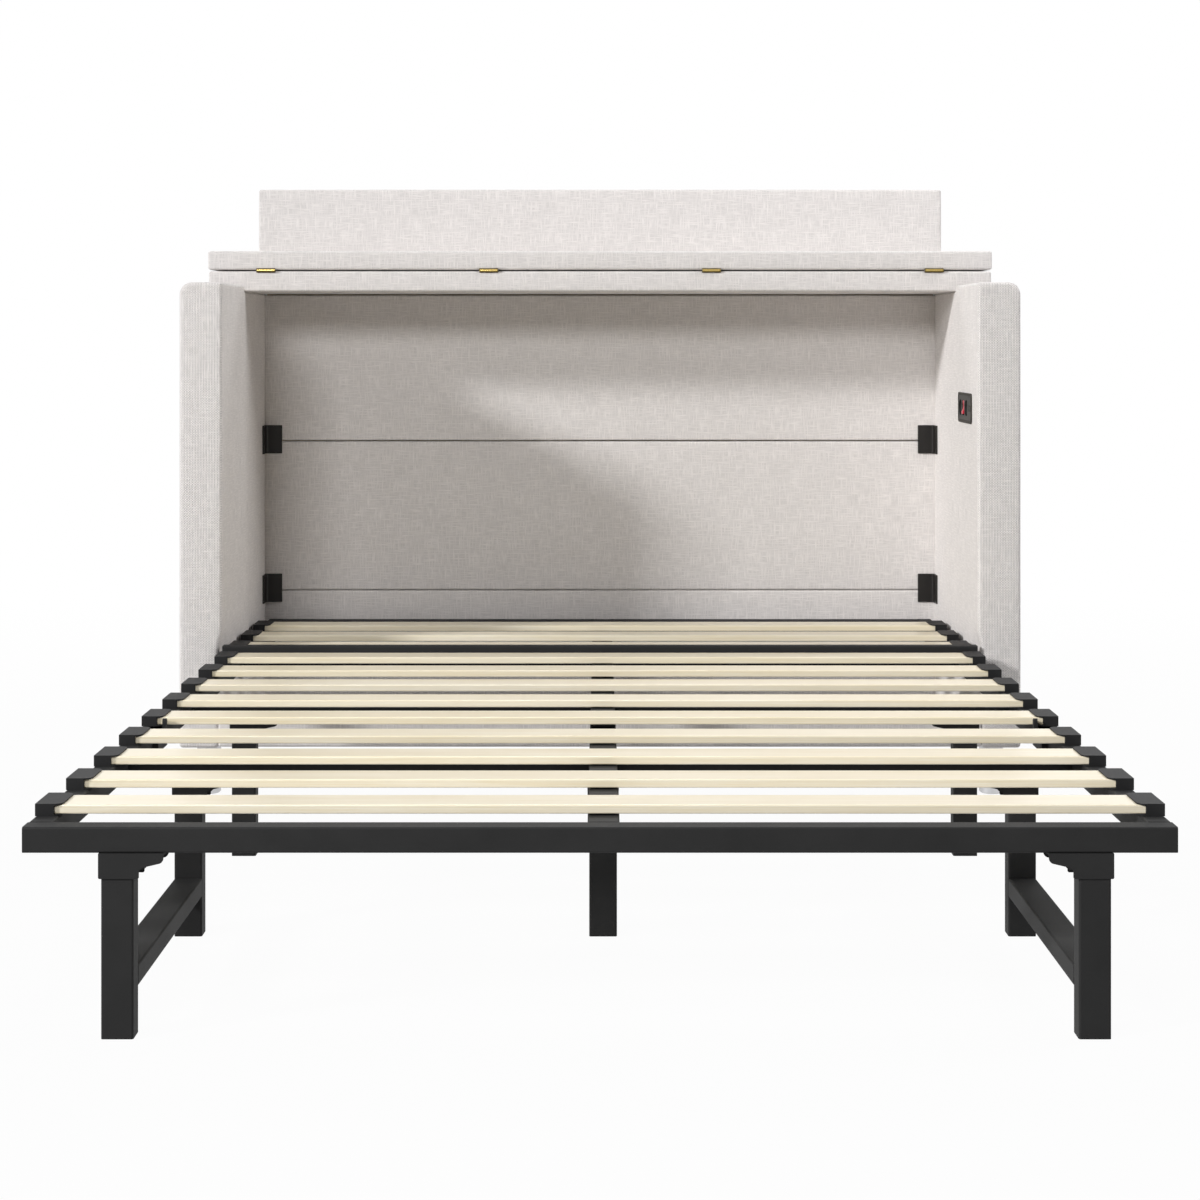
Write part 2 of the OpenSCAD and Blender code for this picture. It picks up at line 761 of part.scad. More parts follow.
module cross_tube(y, half) {
  translate([-half, y, rail_z]) along_x(2 * half) tube_section(cross_d, rail_h);
}

module beam(y_from, y_to) {
  translate([beam_shift - beam_w / 2, y_from, rail_z])
    along_y(y_to - y_from) tube_section(beam_w, rail_h);
}

// A tube across the whole frame, closed by a plug at each end
module closed_bar(y, z, d, h) {
  translate([plug_t - rail_out, y, z]) along_x(2 * (rail_out - plug_t)) tube_section(d, h);
  both_sides() translate([rail_out, y, z])
    mirror([1, 0, 0]) rotate([90, 0, 90]) tube_plug(d, h);
}

front_rows = [for (i = [0:front_slat_count - 1]) front_caps_y + i * slat_pitch];
middle_rows = [for (i = [0:middle_slat_count - 1]) middle_caps_y + i * slat_pitch];
rear_rows = [for (i = [0:rear_slat_count - 1]) rear_cap_y + i * rear_pitch];

module rear_rail() side_rail(rear_rail_start, rear_rail_end, rear_rows);
module middle_rail() side_rail(middle_rail_start, middle_rail_end, middle_rows);
module front_rail() side_rail(foot_rail_back, front_rail_end, front_rows);

module rear_rail_left() color(STEEL) at_front() mirror([1, 0, 0]) rear_rail();
module rear_rail_right() color(STEEL) at_front() rear_rail();
module middle_rail_left() color(STEEL) at_front() mirror([1, 0, 0]) middle_rail();
module middle_rail_right() color(STEEL) at_front() middle_rail();
module front_rail_left() color(STEEL) at_front() mirror([1, 0, 0]) front_rail();
module front_rail_right() color(STEEL) at_front() front_rail();

module rear_cross_tubes() color(STEEL) at_front() {
  cross_tube(rear_rail_start, rail_in);
  cross_tube(rear_rail_end - cross_d, rail_in);
}
module middle_cross_tube() color(STEEL) at_front() cross_tube(mid_leg_y, rail_in);
module front_cross_tube() color(STEEL) at_front() cross_tube(second_leg_y, rail_in);
module foot_rail() color(STEEL) at_front() closed_bar(foot_rail_y, rail_z, cross_d, rail_h);
module cross_bar() color(STEEL) at_front()
  closed_bar(bar_back - bar_d, rail_top, bar_d, bar_h);

module rear_beam() color(STEEL) at_front()
  beam(rear_rail_start + cross_d, rear_rail_end - cross_d);
module middle_beam() color(STEEL) at_front() {
  beam(middle_rail_start, mid_leg_y);
  beam(mid_leg_y + cross_d, middle_rail_end);
}
module front_beam() color(STEEL) at_front() {
  beam(foot_rail_back, second_leg_y);
  beam(second_leg_y + cross_d, front_rail_end);
}

// Angle brackets that carry the rear rails
module rail_bracket(y) {
  translate([rail_in + tube_r, y, rail_z - angle_t])
    cube([side_in - rail_in - tube_r, angle_l, angle_t]);
  translate([side_in - angle_t, y, rail_z - angle_t]) cube([angle_t, angle_l, rail_h]);
}

module rail_brackets() color(STEEL) at_front() both_sides() {
  rail_bracket(rear_rail_start + angle_inset);
  rail_bracket(rear_rail_end - angle_inset - angle_l);
}

// Slats and caps

module slat_row(rows) {
  for (y = rows)
    translate([-slat_end, y + (cap_d - slat_w) / 2, slat_z])
      along_x(2 * slat_end) round_rect(slat_w, slat_t, slat_r);
}

module slat_cap() {
  slot_d = slat_w + 2 * slat_clear;
  slot_h = slat_t + 2 * slat_clear;
  difference() {
    union() {
      translate([rail_out - cap_w, 0, 0]) cube([cap_w, cap_d, cap_h]);
      linear_extrude(cap_h) translate([cap_in, 0])
        soft_rect(cap_w + cap_lip, cap_d, [cap_lip, hidden_r, hidden_r, cap_lip]);
    }
    translate([cap_in - over, (cap_d - slot_d) / 2, cap_lip_t])
      cube([slat_end + slat_clear - cap_in + over, slot_d, slot_h]);
    for (y = [-over, cap_d - (cap_d - slot_d) / 2 - over])
      translate([cap_in - over, y, cap_lip_t])
        cube([cap_lip + over, (cap_d - slot_d) / 2 + 2 * over, slot_h]);
  }
  translate([peg_x, cap_d / 2, -peg_l]) cylinder(r = peg_r, h = peg_l + cap_lip_t);
}

module cap_rows(rows) {
  both_sides() for (y = rows)
    translate([0, y, rail_top]) slat_cap();
}

module rear_slats() color(BIRCH) at_front() slat_row(rear_rows);
module middle_slats() color(BIRCH) at_front() slat_row(middle_rows);
module front_slats() color(BIRCH) at_front() slat_row(front_rows);
module rear_slat_caps() color(PLASTIC) at_front() cap_rows(rear_rows);
module middle_slat_caps() color(PLASTIC) at_front() cap_rows(middle_rows);
module front_slat_caps() color(PLASTIC) at_front() cap_rows(front_rows);

// Pivot of the folding bed, on the side panels

module pivot_plates() color(STEEL) at_front() both_sides() {
  translate([side_in - pivot_plate_t, pivot_plate_inset, pivot_z - pivot_plate_h / 2])
    along_x(pivot_plate_t) round_rect(pivot_plate_l, pivot_plate_h, pivot_plate_r);
  translate([rail_out + swing_clear, pivot_y, pivot_z]) rotate([0, 90, 0])
    cylinder(r = pivot_r, h = pivot_gap - swing_clear + over);
}

module pivot_ears() color(STEEL) at_front() both_sides() difference() {
  translate([rail_out, 0, 0]) along_x(pivot_ear_t) {
    translate([pivot_y, pivot_z]) circle(pivot_ear_r);
    translate([pivot_y - pivot_ear_l, rail_z]) square([pivot_ear_l, pivot_ear_h]);
  }
  translate([rail_out - over, pivot_y, pivot_z]) rotate([0, 90, 0])
    cylinder(r = pivot_r + pin_clear, h = pivot_gap + 2 * over);
}

// Hinges between the middle section and the foot section, inside the rails

fold_outer_x = cap_in - swing_clear;
fold_inner_x = fold_outer_x - fold_plate_t - swing_clear;

// A plate beside the rail; x_out is the outer face of its ear, turn is 1 behind the fold line
module fold_plate(x_out, turn) {
  low = rail_z + fold_plate_low;
  high = rail_top - fold_plate_high;
  plate_y = turn > 0 ? fold_rail_gap : -fold_rail_gap - fold_plate_l;
  translate([x_out - fold_plate_t, fold_y, 0]) along_x(fold_plate_t) {
    translate([0, fold_z]) circle(fold_ear_r);
    translate([-fold_ear_r, low]) square([2 * fold_ear_r, fold_z - low]);
    translate([turn > 0 ? 0 : -fold_rail_gap - fold_plate_l, low])
      square([fold_rail_gap + fold_plate_l, high - low]);
  }
  translate([x_out - fold_plate_t, fold_y + plate_y, low])
    cube([rail_in - x_out + fold_plate_t, fold_plate_l, high - low]);
}

module fold_rod(r, x_from, x_to) {
  translate([x_from, fold_y, fold_z]) rotate([0, 90, 0]) cylinder(r = r, h = x_to - x_from);
}

module fold_hinges_middle() color(STEEL) at_front() both_sides() difference() {
  fold_plate(fold_outer_x, 1);
  fold_rod(fold_pin_r + pin_clear, fold_inner_x - over, fold_outer_x + over);
}

module fold_hinges_front() color(STEEL) at_front() both_sides() {
  fold_plate(fold_inner_x, -1);
  fold_rod(fold_pin_r, fold_inner_x - over, fold_outer_x);
}

// Legs. A leg stands round X 0, with its pivot on its +X side and its front at Y 0.

module folding_leg(w, d) {
  pivot_x = w / 2 + leg_pivot_in;
  difference() {
    union() {
      translate([-w / 2, 0, plug_t]) linear_extrude(leg_top - plug_t) round_rect(w, d, tube_r);
      translate([pivot_x, d, leg_pivot_z]) rotate([90, 0, 0]) cylinder(r = leg_ear_r, h = d);
      translate([0, 0, leg_pivot_z - leg_ear_r]) cube([pivot_x, d, leg_ear_r]);
    }
    translate([tube_wall - w / 2, tube_wall, plug_t - over])
      linear_extrude(leg_top - leg_head - plug_t + over)
        round_rect(w - 2 * tube_wall, d - 2 * tube_wall, tube_r - tube_wall);
    translate([pivot_x, d + over, leg_pivot_z]) rotate([90, 0, 0])
      cylinder(r = leg_pin_r + pin_clear, h = d + 2 * over);
  }
  translate([-w / 2, 0, 0]) tube_plug(w, d);
}

// The nose of a cheek, from the plate's edge at X = 0: flared at the plate, rising to a round
// end, with a hollow where it runs out under the rail
module cheek_nose() {
  slope = nose_rise / nose_l;
  tilt = atan(slope);
  middle = [nose_l - nose_r, nose_r / cos(tilt) - nose_h - slope * nose_r];
  difference() {
    polygon([[-over, 0], [nose_l, 0], [nose_l, -nose_h],
             [nose_flare_l, slope * nose_flare_l - nose_h - nose_rise],
             [0, -nose_h - nose_rise - nose_flare_h], [-over, -nose_h - nose_rise - nose_flare_h]]);
    difference() {
      polygon([middle, middle + [nose_r + over, 0], [nose_l + over, -nose_h - over],
               middle + (nose_r + over) * [sin(tilt), -cos(tilt)]]);
      translate(middle) circle(nose_r);
    }
  }
  difference() {
    translate([nose_l - over, -nose_tip_r]) square([nose_tip_r + over, nose_tip_r]);
    translate([nose_l + nose_tip_r, -nose_tip_r]) circle(nose_tip_r);
  }
}

// One cheek of a leg bracket, drawn in X and Z: a plate with a curved nose under the rail
module cheek(w) {
  translate([-w / 2 - cheek_out, rail_z - cheek_h])
    soft_rect(w + cheek_out + cheek_in, cheek_h, [cheek_r, cheek_r, sharp_r, sharp_r]);
  translate([w / 2 + cheek_in, rail_z]) cheek_nose();
}

module leg_bracket(w, d) {
  pivot_x = w / 2 + leg_pivot_in;
  for (y = [-bracket_proud, d + swing_clear])
    translate([0, y, 0]) along_y(cheek_t) cheek(w);
  translate([-w / 2 - cheek_out, -bracket_proud, rail_z - web_t])
    cube([w + cheek_out + cheek_in + nose_l, d + 2 * bracket_proud, web_t]);
  translate([pivot_x, d + bracket_proud, leg_pivot_z]) rotate([90, 0, 0])
    cylinder(r = leg_pin_r, h = d + 2 * bracket_proud);
}

// Turns a leg or bracket so that it folds towards the foot of the bed
module at_centre() {
  translate([beam_shift, second_leg_y + cross_d / 2, 0]) rotate(-90)
    translate([0, -leg_w / 2, 0]) children();
}

module leg_brackets() color(STEEL) at_front() {
  for (side = [-1, 1], y = [foot_rail_y, second_leg_y])
    translate([0, y, 0]) at_leg(side) leg_bracket(leg_w, cross_d);
  at_centre() leg_bracket(cross_d, leg_w);
}

module middle_leg_brackets() color(STEEL) at_front() {
  for (side = [-1, 1])
    translate([0, mid_leg_y, 0]) at_leg(side) leg_bracket(leg_w, cross_d);
}

module side_leg(y, side) {
  translate([0, y, 0]) at_leg(side) folding_leg(leg_w, cross_d);
}

module leg_brace(side) {
  translate([-leg_w / 2, foot_rail_back, brace_z]) translate([leg_shift + side * leg_x, 0, 0])
    along_y(second_leg_y - foot_rail_back) tube_section(leg_w, brace_h);
}

module front_leg_left() color(STEEL) at_front() side_leg(foot_rail_y, -1);
module second_leg_left() color(STEEL) at_front() side_leg(second_leg_y, -1);
module leg_brace_left() color(STEEL) at_front() leg_brace(-1);
module front_leg_right() color(STEEL) at_front() side_leg(foot_rail_y, 1);
module second_leg_right() color(STEEL) at_front() side_leg(second_leg_y, 1);
module leg_brace_right() color(STEEL) at_front() leg_brace(1);
module middle_leg_left() color(STEEL) at_front() side_leg(mid_leg_y, -1);
module middle_leg_right() color(STEEL) at_front() side_leg(mid_leg_y, 1);
module centre_leg() color(STEEL) at_front() at_centre() folding_leg(cross_d, leg_w);

side_core_left();
side_core_right();
side_cover_left();
side_cover_right();
back_board();
back_pad_top();
back_pad_middle();
back_pad_bottom();
corner_blocks();
fixed_top();
lower_front_board();
board_clips();
cabinet_feet();
lid_hinge_fixed_leaves();
lid_hinge_pins();
pivot_plates();
rail_brackets();
rear_rail_left();
rear_rail_right();
rear_cross_tubes();
rear_beam();
rear_slats();
rear_slat_caps();
power_housing();
power_face();
power_insert();
power_rocker();
lid_panel();
lid_fascia();
lid_hinge_moving_leaves();
middle_rail_left();
middle_rail_right();
middle_cross_tube();
middle_beam();
cross_bar();
middle_slats();
middle_slat_caps();
pivot_ears();
fold_hinges_middle();
middle_leg_brackets();
front_rail_left();
front_rail_right();
foot_rail();
front_cross_tube();
front_beam();
front_slats();
front_slat_caps();
fold_hinges_front();
leg_brackets();
front_leg_left();
second_leg_left();
leg_brace_left();
front_leg_right();
second_leg_right();
leg_brace_right();
middle_leg_left();
middle_leg_right();
centre_leg();
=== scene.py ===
import math

import bmesh
import bpy
import numpy as np
from mathutils import Matrix, Vector, noise


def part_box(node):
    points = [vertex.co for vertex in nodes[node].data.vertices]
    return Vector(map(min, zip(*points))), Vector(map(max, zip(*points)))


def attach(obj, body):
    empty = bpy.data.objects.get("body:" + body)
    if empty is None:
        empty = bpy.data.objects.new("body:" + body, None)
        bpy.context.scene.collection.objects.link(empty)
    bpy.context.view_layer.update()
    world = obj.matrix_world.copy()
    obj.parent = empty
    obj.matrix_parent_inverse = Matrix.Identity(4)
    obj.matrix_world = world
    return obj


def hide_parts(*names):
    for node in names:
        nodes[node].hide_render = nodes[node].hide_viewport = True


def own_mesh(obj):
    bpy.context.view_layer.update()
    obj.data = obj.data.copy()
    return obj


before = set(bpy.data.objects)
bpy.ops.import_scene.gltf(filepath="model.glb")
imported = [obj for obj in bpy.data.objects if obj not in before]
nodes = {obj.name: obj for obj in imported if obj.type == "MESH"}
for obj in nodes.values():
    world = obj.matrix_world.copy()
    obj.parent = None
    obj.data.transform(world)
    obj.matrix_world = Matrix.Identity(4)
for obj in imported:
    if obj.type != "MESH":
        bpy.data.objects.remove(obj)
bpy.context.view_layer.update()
scene = bpy.context.scene

MM = 0.001
TINY = 1e-9                # keeps a division by a length away from 0


def new_object(name, data):
    """An object in the scene."""
    made = bpy.data.objects.new(name, data)
    scene.collection.objects.link(made)
    return made


def mesh_from(made, name):
    """A mesh from a bmesh, which it frees."""
    mesh = bpy.data.meshes.new(name)
    made.to_mesh(mesh)
    made.free()
    return mesh


# Camera of the photograph: level, looking along +Y, with its horizon above the middle

PHOTO_PX = 1200            # width and height of the photograph
FOCAL_PX = 2117.5
HORIZON_PX = 340           # from the photograph's top
CAMERA_PLACE = (0.0, -3.84355, 0.9133)
SENSOR_MM = 36.0
CLIP_END = 100.0


def make_camera():
    """The photograph's camera, as the scene's own."""
    data = bpy.data.cameras.new("camera")
    data.sensor_width = SENSOR_MM
    data.lens = SENSOR_MM * FOCAL_PX / PHOTO_PX
    data.shift_y = (HORIZON_PX - PHOTO_PX / 2) / PHOTO_PX
    data.clip_end = CLIP_END
    camera = new_object("camera", data)
    camera.location = CAMERA_PLACE
    camera.rotation_euler = (math.pi / 2, 0.0, 0.0)
    scene.camera = camera


make_camera()
scene.view_settings.view_transform = "Standard"


# Places that finishes and padded panels share

PIN_SPACING = 60 * MM      # the pins of two hinges are further apart than this


def hinge_middles():
    """Places of the lid hinges along X, each from the two ends of its pin."""
    xs = sorted(v.co.x for v in nodes["lid_hinge_pins"].data.vertices)
    groups = [[xs[0]]]
    for x in xs[1:]:
        if x - groups[-1][-1] > PIN_SPACING:
            groups.append([])
        groups[-1].append(x)
    return [(g[0] + g[-1]) / 2 for g in groups]


HINGES = hinge_middles()
PIN_LOW, PIN_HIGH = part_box("lid_hinge_pins")
HINGE_Y = (PIN_LOW.y + PIN_HIGH.y) / 2
HINGE_Z = (PIN_LOW.z + PIN_HIGH.z) / 2
HINGE_PITCH = (HINGES[-1] - HINGES[0]) / (len(HINGES) - 1)
TOP_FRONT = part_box("fixed_top")[0].y


# Shader nodes

NOISE_SPAN = (0.3, 0.7)    # most values of a noise lie between these


class Nodes:
    """A node tree, with short calls for the nodes that the finishes and the world share."""

    def __init__(self, tree):
        self.nodes, self.links = tree.nodes, tree.links

    def node(self, kind, inputs=None, **settings):
        """A new node. Each input is given as a value or as the output that it is linked to."""
        made = self.nodes.new(kind)
        for key, value in settings.items():
            setattr(made, key, value)
        for key, value in (inputs or {}).items():
            self.put(made.inputs[key], value)
        return made

    def put(self, socket, value):
        if isinstance(value, bpy.types.NodeSocket):
            self.links.new(value, socket)
        else:
            socket.default_value = value

    def math(self, operation, a, b=0.0):
        return self.node("ShaderNodeMath", {0: a, 1: b}, operation=operation).outputs[0]

    def product(self, a, b):
        return self.math("MULTIPLY", a, b)

    def total(self, *terms):
        """The sum of values, each given with its weight."""
        parts = [value if weight == 1 else self.product(value, weight) for value, weight in terms]
        made = parts[0]
        for part in parts[1:]:
            made = self.math("ADD", made, part)
        return made

    def largest(self, *values):
        made = values[0]
        for value in values[1:]:
            made = self.math("MAXIMUM", made, value)
        return made

    def wave(self, value, pitch):
        """A sine wave from -1 to 1 with this pitch."""
        return self.math("SINE", self.product(value, math.tau / pitch))

    def spread(self, value, low, high, to_low=0.0, to_high=1.0):
        """A value's range from low to high, brought to another range and held there."""
        made = self.node("ShaderNodeMapRange", {"Value": value, "From Min": low, "From Max": high,
                                                "To Min": to_low, "To Max": to_high})
        return made.outputs["Result"]

    def seen(self):
        """1 for what the camera sees, straight or by gloss or glass, and 0 for other light."""
        path = self.node("ShaderNodeLightPath")
        return self.largest(*(path.outputs[f"Is {ray} Ray"]
                              for ray in ("Camera", "Glossy", "Transmission")))


class Finish(Nodes):
    """A material, with its shader and the places and textures that its nodes use."""

    def __init__(self, name, color, rough, **sockets):
        self.material = bpy.data.materials.new(name)
        self.material.use_nodes = True
        self.material.diffuse_color = (*color, 1.0)
        super().__init__(self.material.node_tree)
        self.shader = self.nodes["Principled BSDF"]
        self.shader.inputs["Base Color"].default_value = (*color, 1.0)
        self.shader.inputs["Roughness"].default_value = rough
        for key, value in sockets.items():
            self.shader.inputs[key.replace("_", " ")].default_value = value

    def object_space(self, scale=(1.0, 1.0, 1.0), shift=(0.0, 0.0, 0.0)):
        return self.scaled(self.node("ShaderNodeTexCoord").outputs["Object"], scale, shift)

    def cloth_space(self, scale=(1.0, 1.0, 1.0), shift=(0.0, 0.0, 0.0)):
        return self.scaled(self.node("ShaderNodeUVMap", uv_map="cloth").outputs["UV"], scale, shift)

    def scaled(self, place, scale, shift):
        return self.node("ShaderNodeMapping", {"Vector": place, "Scale": scale,
                                               "Location": shift}).outputs["Vector"]

    def axes(self, place):
        """A place's X, Y and Z."""
        return self.node("ShaderNodeSeparateXYZ", {"Vector": place}).outputs

    def noise(self, place, scale=1.0, detail=2.0, rough=0.5, distortion=0.0):
        """Noise from 0 to 1. Its scale, with that of the place, is in cells per metre."""
        made = self.node("ShaderNodeTexNoise", {"Vector": place, "Scale": scale, "Detail": detail,
                                                "Roughness": rough, "Distortion": distortion})
        return made.outputs["Fac"]

    def mix(self, factor, a, b):
        """A colour from a to b. Each is a colour or a node's output."""
        made = self.node("ShaderNodeMix", data_type="RGBA")
        self.put(made.inputs[0], factor)
        for socket, value in ((made.inputs[6], a), (made.inputs[7], b)):
            self.put(socket, value if isinstance(value, bpy.types.NodeSocket) else (*value, 1.0))
        return made.outputs[2]

    def shades(self, value, base, dark, light, span=NOISE_SPAN):
        """The base colour, from dark times to light times as bright as the value crosses span."""
        ends = [tuple(c * factor for c in base) for factor in (dark, light)]
        return self.mix(self.spread(value, *span), *ends)

    def color(self, value):
        self.links.new(value, self.shader.inputs["Base Color"])

    def roughness(self, value, low, high):
        """Roughness from low to high as the value crosses a noise's span."""
        self.links.new(self.spread(value, *NOISE_SPAN, low, high), self.shader.inputs["Roughness"])

    def bump(self, height, strength, distance):
        made = self.node("ShaderNodeBump", {"Height": height, "Strength": strength,
                                            "Distance": distance})
        self.links.new(made.outputs["Normal"], self.shader.inputs["Normal"])


# Finishes

WARP_PITCH, WEFT_PITCH = 1.7 * MM, 1.9 * MM
RIB_PITCH, RIB_STEP = 5.5 * MM, 4.9 * MM       # the ribbed weave across and along the bands
BIRCH_PLY, PLYWOOD_PLY = 3.1 * MM, 3.0 * MM    # a light and a dark ply together
SLAT_PITCH = 79.3 * MM
SLAT_ROWS_FROM = 3.0       # how far in front of the middle the count of the slats' rows starts
BRUSH = (40.0, 1800.0, 1800.0)    # long along X and fine across it, in cells per metre

# Where painted shade darkens a hinge's brass: heights from the barrel's axis, and distances from
# its middle
BARREL_SHADE = (-2.6 * MM, -0.4 * MM)
BARREL_TOP = (2.0 * MM, 3.6 * MM)
BARREL_END = (17.0 * MM, 20.0 * MM)


def linen():
    """Off-white linen: warp and weft threads, slubs, and a coarser rib on the narrow bands."""
    base = (0.800, 0.766, 0.750)
    t = Finish("linen", base, 0.92, Sheen_Weight=0.10, Sheen_Roughness=0.5,
               Specular_IOR_Level=0.15)
    warp = t.noise(t.cloth_space((330.0, 30.0, 1.0)), detail=3.0, rough=0.6)
    weft = t.noise(t.cloth_space((30.0, 340.0, 1.0), (3.1, 7.7, 0.0)), detail=3.0, rough=0.6)
    yarn = t.noise(t.cloth_space((900.0, 900.0, 1.0), (9.0, 2.0, 0.0)), detail=1.0)
    cloud = t.noise(t.cloth_space((16.0, 11.0, 1.0)), detail=3.0, rough=0.6)
    threads = t.largest(t.spread(warp, 0.28, 0.72), t.spread(weft, 0.28, 0.72))
    mottle = t.total((threads, 0.62), (yarn, 0.20), (cloud, 0.18))
    fine = t.shades(mottle, base, 0.84, 1.085, span=(0.38, 0.82))

    u, v, _ = t.axes(t.cloth_space())
    across = t.wave(u, RIB_PITCH)
    basket = t.product(across, t.wave(v, RIB_STEP))
    rib = t.total((basket, t.spread(cloud, 0.35, 0.65, 0.35, 1.9)), (across, 0.45),
                  (t.spread(mottle, 0.4, 0.8, -0.8, 0.8), 1))
    coarse = t.shades(rib, base, 0.73, 1.17, span=(-1.35, 1.35))
    band = t.node("ShaderNodeAttribute", attribute_name="band").outputs["Fac"]
    t.color(t.mix(band, fine, coarse))

    weave = t.product(t.wave(u, WARP_PITCH), t.wave(v, WEFT_PITCH))
    fine_height = t.total((weave, 0.3), (threads, 1.5))
    height = t.node("ShaderNodeMix", {0: band, 2: fine_height, 3: rib}, data_type="FLOAT")
    t.bump(height.outputs[0], 0.5, 0.5 * MM)
    return t.material


def birch():
    """Laminated birch slats: grain along X, plies that show on the edges, a tone per slat."""
    t = Finish("birch", (0.93, 0.84, 0.64), 0.36, Specular_IOR_Level=0.55, Coat_Weight=0.45,
               Coat_Roughness=0.22)
    grain = t.noise(t.object_space((5.0, 170.0, 170.0)), detail=4.0, rough=0.6, distortion=0.4)
    fibre = t.noise(t.object_space((26.0, 900.0, 900.0)))
    cloud = t.noise(t.object_space((1.4, 14.0, 14.0), (4.0, 2.0, 0.0)))
    _, y, z = t.axes(t.object_space())
    ply = t.wave(z, BIRCH_PLY)
    row = t.math("FLOOR", t.product(t.math("ADD", y, SLAT_ROWS_FROM), 1 / SLAT_PITCH))
    tone = t.node("ShaderNodeTexWhiteNoise", {"W": row}, noise_dimensions="1D").outputs["Value"]
    value = t.total((grain, 0.42), (fibre, 0.16), (cloud, 0.24), (ply, 0.045),
                    (t.spread(tone, 0.0, 1.0, 0.04, 0.14), 1))
    t.color(t.mix(t.spread(value, 0.33, 0.68), (0.87, 0.750, 0.505), (0.98, 0.915, 0.765)))
    t.roughness(grain, 0.30, 0.42)
    t.bump(t.total((fibre, 1), (ply, 0.3)), 0.12, 0.4 * MM)
    return t.material


def plywood():
    """Raw plywood with its plies on the edges."""
    t = Finish("plywood", (0.60, 0.44, 0.27), 0.7, Specular_IOR_Level=0.25)
    grain = t.noise(t.object_space((6.0, 200.0, 90.0)), detail=4.0, rough=0.62, distortion=0.6)
    _, y, _ = t.axes(t.object_space())
    value = t.total((grain, 1), (t.wave(y, PLYWOOD_PLY), 0.09))
    t.color(t.mix(t.spread(value, 0.3, 0.72), (0.45, 0.30, 0.16), (0.70, 0.54, 0.35)))
    t.bump(grain, 0.2, 0.4 * MM)
    return t.material


def coated_steel():
    """Charcoal powder coat: a fine orange peel and a slight change of tone."""
    base = (0.0200, 0.0200, 0.0201)
    t = Finish("charcoal_coat", base, 0.62, Specular_IOR_Level=0.14)
    peel = t.noise(t.object_space(), 1100.0, rough=0.55)
    tone = t.noise(t.object_space(), 9.0, detail=3.0, rough=0.6)
    t.color(t.shades(tone, base, 0.88, 1.16))
    t.roughness(peel, 0.56, 0.70)
    t.bump(peel, 0.10, 0.25 * MM)
    return t.material


def moulded(name, base, rough, level):
    """Moulded plastic with a fine spark-eroded grain."""
    t = Finish(name, base, rough, Specular_IOR_Level=level)
    grain = t.noise(t.object_space(), 1500.0, rough=0.6)
    tone = t.noise(t.object_space(), 14.0)
    t.color(t.shades(tone, base, 0.9, 1.12))
    t.roughness(grain, rough - 0.05, rough + 0.06)
    t.bump(grain, 0.10, 0.2 * MM)
    return t.material


def brushed(t, base, rough):
    """Gives a metal brushing along X and faint smudges, and returns its colour."""
    lines = t.noise(t.object_space(BRUSH))
    smudge = t.noise(t.object_space(), 60.0, detail=3.0, rough=0.6)
    value = t.total((lines, 0.6), (smudge, 0.4))
    t.roughness(value, rough - 0.06, rough + 0.08)
    t.bump(lines, 0.06, 0.1 * MM)
    return t.shades(value, base, 0.86, 1.06)


def metal(name, base, rough):
    """Bare metal."""
    t = Finish(name, base, rough, Metallic=1.0)
    t.color(brushed(t, base, rough))
    return t.material


def hinge_brass():
    """Brass with painted shade: darker below the barrels' axis, along their top and towards their
    ends, so that their middle reads as a lit highlight.
    """
    base, painted_shade, rough = (0.52, 0.385, 0.135), (0.055, 0.040, 0.013), 0.22
    t = Finish("hinge_brass", base, rough, Metallic=1.0)
    x, _, z = t.axes(t.object_space())
    low = t.spread(z, *(HINGE_Z + h for h in BARREL_SHADE), 1.0, 0.0)
    top = t.spread(z, *(HINGE_Z + h for h in BARREL_TOP))
    cell = t.math("FRACT", t.math("ADD", t.product(x, 1 / HINGE_PITCH), 1.0))
    from_middle = t.math("ABSOLUTE", t.math("SUBTRACT", cell, 0.5))
    end = t.spread(from_middle, *(d / HINGE_PITCH for d in BARREL_END))
    # Painted shade on the barrels: below the axis, along the top and towards each hinge's ends
    dark = t.largest(t.product(low, 0.9), t.product(end, 0.8), t.product(top, 0.75))
    t.color(t.mix(dark, brushed(t, base, rough), painted_shade))
    return t.material


def rocker_red():
    """Glossy red rocker."""
    base = (0.56, 0.020, 0.046)
    t = Finish("rocker_red", base, 0.3, Specular_IOR_Level=0.25, Coat_Weight=0.12,
               Coat_Roughness=0.1)
    t.color(t.shades(t.noise(t.object_space(), 40.0), base, 0.85, 1.2, span=(0.0, 1.0)))
    return t.material


FINISH = {
    "linen": linen(),
    "birch": birch(),
    "plywood": plywood(),
    "steel": coated_steel(),
    "plastic": moulded("black_plastic", (0.0140, 0.0140, 0.0145), 0.56, level=0.18),
    "angle": moulded("corner_angle", (0.0135, 0.0118, 0.0106), 0.48, level=0.30),
    "brass": metal("brass", (0.70, 0.52, 0.20), 0.24),
    "hinge": hinge_brass(),
    "foot": metal("foot_metal", (0.60, 0.60, 0.61), 0.42),
    "case": moulded("power_case", (0.034, 0.031, 0.027), 0.55, level=0.16),
    "insert": moulded("power_insert", (0.010, 0.011, 0.010), 0.4, level=0.2),
    "red": rocker_red(),
}

